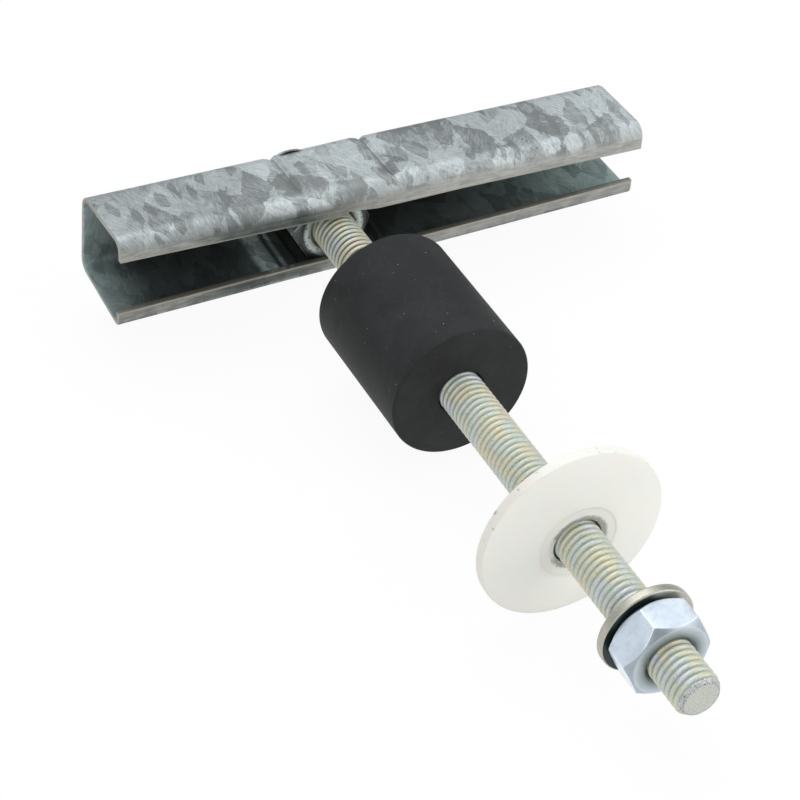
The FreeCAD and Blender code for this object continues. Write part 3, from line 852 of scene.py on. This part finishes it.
class TOGGLE_OT_sleeve(bpy.types.Operator):
    """Make the rubber sleeve"""
    bl_idname = "toggle.sleeve"
    bl_label = "Rubber sleeve"

    def execute(self, context):
        settings = context.scene.toggle_sleeve
        points, faces = tube("rubber_sleeve", settings.bore, ROUND_SEGMENTS)
        piece = new_piece("thick_rubber_sleeve", points, faces, rubber_material(settings),
                          "sleeve", "rubber_sleeve", "black_rubber")
        soften(piece, settings.edge)
        return {"FINISHED"}


def station_at(along):
    """Return the back's rise, the flares and the top lip at a place along the bar."""
    for before, after in zip(BAR_STATIONS, BAR_STATIONS[1:]):
        if along <= after[0]:
            share = (along - before[0]) / (after[0] - before[0])
            return [first + (second - first) * share for first, second in zip(before[1:], after[1:])]
    return list(BAR_STATIONS[-1][1:])


def folded_path(along):
    """Sample the sheet's outer line at a place along the bar: spots, inward directions and stretches.

    Stretches count from the top lip: 0, 1, 2, 3 and 4 are the flats, and the bends lie between them.
    """
    rise, top_flare, bottom_flare, top_lip = station_at(along)
    top_front = BAR_TOP + top_flare
    bottom_front = BAR_BOTTOM - bottom_flare
    route = [
        Vector((-BAR_LEAN, top_front - top_lip)),
        Vector((-BAR_LEAN, top_front)),
        Vector((BAR_DEPTH - BAR_LEAN - 2 * BAR_LEAN * rise / BAR_HEIGHT, BAR_TOP + rise)),
        Vector((BAR_DEPTH + BAR_LEAN, BAR_BOTTOM)),
        Vector((BAR_LEAN, bottom_front)),
        Vector((BAR_LEAN, bottom_front + BAR_BOTTOM_LIP)),
    ]
    spots = []
    start = route[0]
    for flat, count in enumerate(BAR_FLAT_STEPS):
        corner = route[flat + 1]
        heading = (corner - route[flat]).normalized()
        inward = Vector((heading.y, -heading.x))
        last = flat == len(BAR_FLAT_STEPS) - 1
        if last:
            finish = corner
        else:
            onward = (route[flat + 2] - corner).normalized()
            turn = heading.angle(onward)
            bend = BAR_BENDS[flat]
            reach = bend * math.tan(turn / 2)
            finish = corner - heading * reach
        for step in range(0 if flat == 0 else 1, count + 1):
            spots.append((start.lerp(finish, step / count), inward, float(flat)))
        if not last:
            centre = finish + inward * bend
            for step in range(1, BAR_BEND_STEPS + 1):
                angle = turn * step / BAR_BEND_STEPS
                swung = Vector((
                    inward.x * math.cos(angle) + inward.y * math.sin(angle),
                    inward.y * math.cos(angle) - inward.x * math.sin(angle)))
                spots.append((centre - swung * bend, swung, flat + 0.1 + 0.8 * step / BAR_BEND_STEPS))
            start = corner + onward * reach
    return spots


def smooth_step(low, high, value):
    """Rise smoothly from 0 at low to 1 at high."""
    share = min(max((value - low) / (high - low), 0.0), 1.0)
    return share * share * (3 - 2 * share)


def rib_push(along, spot, stretch, depth, width):
    """Return how far the ribs push the sheet inwards at a spot, and how strong the dark tone of their creases
    is there.
    """
    push = 0.0
    crease_and_shade = 0.0
    if stretch in (0.0, 4.0):
        return push, crease_and_shade
    for place, front in RIB_PLACES:
        away = abs(along - place)
        if away > width * 1.6:
            continue
        profile = 0.5 + 0.5 * math.cos(math.pi * min(away / width, 1.0))
        fade = smooth_step(0.0, RIB_FADE, spot.x + BAR_LEAN - front)
        if stretch == 2.0:
            drop = min(BAR_TOP - spot.y, spot.y - BAR_BOTTOM)
            fade = 1 - smooth_step(*RIB_BACK_FADE, drop)
        push = max(push, depth * profile * fade)
        crease_and_shade = max(crease_and_shade, max(0.0, 1 - away / CREASE_HALF) * fade ** 0.5)
        beside = abs(along - place + SIDE_CREASE_AWAY)
        crease_and_shade = max(crease_and_shade, SIDE_CREASE_SHARE * max(0.0, 1 - beside / SIDE_CREASE_HALF) * fade)
    return push, crease_and_shade


def slit_shade(along, back):
    """Return the painted shade that stands for the slit under the strap at a place on the upper back bend;
    the sheet is not cut.
    """
    across = (along - STRAP_PLACE) / (STRAP_REACH - 0.2)
    deep = back - SLIT_BACK
    return min(1.0, max(0.0, 2.4 * (1 - across ** 2 - deep ** 2)))


def strap_arch(mouth):
    """Return the points and faces of the small arch of the strap, which the real bar has lanced out of its
    upper back bend; here it lies on the uncut bend.
    """
    points = []
    for step in range(STRAP_SECTIONS):
        share = step / (STRAP_SECTIONS - 1)
        along = STRAP_PLACE + STRAP_REACH * math.cos(math.pi * (1 - share))
        rise = STRAP_FOOT + STRAP_RISE * math.sin(math.pi * share) ** 0.8
        for back, lift in STRAP_CORNERS:
            points.append((STUD_X + along * MM, mouth + back * MM, STUD_Z + (rise + lift) * MM))
    faces = ring_faces(STRAP_SECTIONS, 4, round_trip=False)
    for first in (0, len(points) - 4):
        faces.append((first, first + 1, first + 2, first + 3))
    return points, faces


def bar_places(left, right, burr, width):
    """Return where the bar's cross sections stand, closer together at the ribs, the strap and the ends."""
    places = [left, left + burr * 0.3, left + burr]
    along = left + 1.4
    while along < right - 1.0:
        places.append(along)
        near = min(abs(along - place) for place, front in RIB_PLACES)
        step = PLAIN_STEP if abs(along - STRAP_PLACE) > STRAP_REACH else STRAP_STEP
        along += RIB_STEP if near < width + 0.3 else step
    return places + [right - burr, right - burr * 0.3, right]


class TOGGLE_OT_bar(bpy.types.Operator):
    """Make the folded galvanised bar with its pressed ribs and lanced strap"""
    bl_idname = "toggle.bar"
    bl_label = "Folded bar"

    def execute(self, context):
        settings = context.scene.toggle_bar
        sheet = settings.sheet / MM
        burr = settings.burr / MM
        depth = settings.rib_depth / MM
        width = settings.rib_width / MM
        left = BAR_STATIONS[0][0]
        right = BAR_STATIONS[-1][0]
        mouth = CAD_BAR_FRONT + BAR_LEAN * MM
        points = []
        marks = {"inside": [], "cut_edge": [], "crease_and_shade": [], "stretch": [], "along": []}
        places = bar_places(left, right, burr, width)
        for along in places:
            from_end = min(along - left, right - along)
            ease = burr - math.sqrt(max(0.0, burr ** 2 - (burr - min(from_end, burr)) ** 2))
            between_ribs = smooth_step(-0.5, 0.5, along - RIB_PLACES[0][0]) * (
                1 - smooth_step(-0.5, 0.5, along - RIB_PLACES[1][0]))
            path = folded_path(along)
            for side, order in enumerate((path, path[::-1])):
                for step, (spot, inward, stretch) in enumerate(order):
                    on_top = 1.0 <= stretch < 2.0
                    push, dark = rib_push(along, spot, stretch, depth, width)
                    proud = PROUD_BETWEEN_RIBS * between_ribs if on_top else 0.0
                    place = spot + inward * (push - proud + (ease if side == 0 else sheet - ease))
                    points.append((STUD_X + along * MM, mouth + place.x * MM, STUD_Z + place.y * MM))
                    # Painted shade stands for the slit under the strap.
                    if on_top:
                        dark = max(dark, slit_shade(along, spot.x))
                    at_edge = step in (0, len(path) - 1) or from_end < burr * 0.9
                    bottom_edge = side == 1 and step == 0
                    marks["inside"].append(float(side))
                    marks["cut_edge"].append(0.4 if bottom_edge else float(at_edge))
                    marks["crease_and_shade"].append(dark if side == 0 else float(bottom_edge))
                    marks["stretch"].append(stretch)
                    marks["along"].append((along - left) / (right - left))
        count = 2 * len(path)
        faces = ring_faces(len(places), count, round_trip=False)
        for first in (0, (len(places) - 1) * count):
            for index in range(first, first + len(path) - 1):
                across = 2 * first + count - 1 - index
                faces.append((index, index + 1, across - 1, across))
        strap_points, strap_faces = strap_arch(mouth)
        shift = len(points)
        points += strap_points
        faces += [tuple(index + shift for index in face) for face in strap_faces]
        sections = len(strap_points) // 4
        # The strap's underside takes painted shade.
        for name, values in (("inside", [0.0] * 4), ("cut_edge", [0.4] * 4), ("crease_and_shade", [0.0, 0.0, 1.0, 0.0]),
                             ("stretch", [1.5] * 4), ("along", [0.37] * 4)):
            marks[name] += values * sections
        piece = new_piece("folded_bar", points, faces, spangle_material(settings),
                          "bar", "channel", "galvanised_steel", smooth=38.0)
        for name, values in marks.items():
            store = piece.data.attributes.new(name, "FLOAT", "POINT")
            store.data.foreach_set("value", values)
        return {"FINISHED"}


def white_floor():
    """Lay a floor that is plain white to the camera and takes soft shadows."""
    bpy.ops.mesh.primitive_plane_add(size=6, location=(0, 0, -0.0002))
    floor = bpy.context.object
    floor.name = "white_floor"
    material = bpy.data.materials.new("white_floor")
    tree, shader = nodes_of(material)
    fill(tree, shader, Base_Color=(0.92, 0.92, 0.92, 1), Roughness=0.9, Specular_IOR_Level=0.0)
    glow = add(tree, "ShaderNodeEmission", Strength=1.0)
    mix = add(tree, "ShaderNodeMixShader", Fac=times(tree, background_rays(tree), 0.93))
    put(tree, mix.inputs[1], shader.outputs[0])
    put(tree, mix.inputs[2], glow.outputs[0])
    out = next(node for node in tree.nodes if node.type == "OUTPUT_MATERIAL")
    put(tree, out.inputs["Surface"], mix.outputs[0])
    floor.data.materials.append(material)


def studio_world():
    """Return a world that is bright above and behind and dim below."""
    world = bpy.data.worlds.new("studio")
    world.use_nodes = True
    tree = world.node_tree
    tree.nodes.clear()
    toward = add(tree, "ShaderNodeTexCoord").outputs["Generated"]
    facing = vector_node(tree, "DOT_PRODUCT", toward, (-0.12, 0.45, 0.88))
    level = ramp(tree, scaled(tree, facing, 0.5, 0.5), [
        (0.20, (0.05, 0.06, 0.06)), (0.48, (0.12, 0.13, 0.13)),
        (0.70, (0.42, 0.44, 0.46)), (0.92, (0.74, 0.78, 0.82))])
    light = add(tree, "ShaderNodeBackground", Strength=1.0, Color=level)
    add(tree, "ShaderNodeOutputWorld", Surface=light.outputs[0])
    return world


class TOGGLE_OT_stage(bpy.types.Operator):
    """Make the floor, the soft lights, the world and the camera"""
    bl_idname = "toggle.stage"
    bl_label = "Stage"

    def execute(self, context):
        settings = context.scene.toggle_stage
        scene = context.scene
        white_floor()
        scene.world = studio_world()
        for name, place, size, power in LAMPS:
            data = bpy.data.lights.new(name, "AREA")
            data.shape = "SQUARE"
            data.size = size
            data.energy = power
            lamp = bpy.data.objects.new(name, data)
            lamp.location = place
            lamp.rotation_euler = (LAMP_AIM - Vector(place)).to_track_quat("-Z", "Y").to_euler()
            scene.collection.objects.link(lamp)
        data = bpy.data.cameras.new("camera")
        data.sensor_width = 36
        data.lens = settings.lens
        data.clip_start = 0.01
        camera = bpy.data.objects.new("camera", data)
        camera.location = settings.place
        camera.rotation_euler = settings.turn
        scene.collection.objects.link(camera)
        scene.camera = camera
        scene.view_settings.view_transform = "Standard"
        return {"FINISHED"}


class TOGGLE_PT_panel(bpy.types.Panel):
    """List the pieces of the toggle bolt"""
    bl_idname = "TOGGLE_PT_panel"
    bl_label = "Toggle bolt"
    bl_space_type = "VIEW_3D"
    bl_region_type = "UI"
    bl_category = "Toggle bolt"

    def draw(self, context):
        for operator in OPERATORS:
            self.layout.operator(operator.bl_idname)


SETTINGS = {
    "toggle_stud": StudSettings,
    "toggle_nut": NutSettings,
    "toggle_washer": WasherSettings,
    "toggle_sleeve": SleeveSettings,
    "toggle_bar": BarSettings,
    "toggle_stage": StageSettings,
}

OPERATORS = (
    TOGGLE_OT_bar,
    TOGGLE_OT_stud,
    TOGGLE_OT_nuts,
    TOGGLE_OT_sleeve,
    TOGGLE_OT_washers,
    TOGGLE_OT_stage,
)


def register():
    """Add the settings, the operators and the panel to Blender."""
    for name, group in SETTINGS.items():
        bpy.utils.register_class(group)
        setattr(bpy.types.Scene, name, bpy.props.PointerProperty(type=group))
    for operator in OPERATORS:
        bpy.utils.register_class(operator)
    bpy.utils.register_class(TOGGLE_PT_panel)


def unregister():
    """Take the settings, the operators and the panel out again."""
    bpy.utils.unregister_class(TOGGLE_PT_panel)
    for operator in reversed(OPERATORS):
        bpy.utils.unregister_class(operator)
    for name, group in SETTINGS.items():
        delattr(bpy.types.Scene, name)
        bpy.utils.unregister_class(group)


def main():
    """Make every piece and the stage."""
    register()
    bpy.ops.toggle.bar()
    bpy.ops.toggle.stud()
    bpy.ops.toggle.nuts()
    bpy.ops.toggle.sleeve()
    bpy.ops.toggle.washers()
    bpy.ops.toggle.stage()


if __name__ == "__main__":
    main()
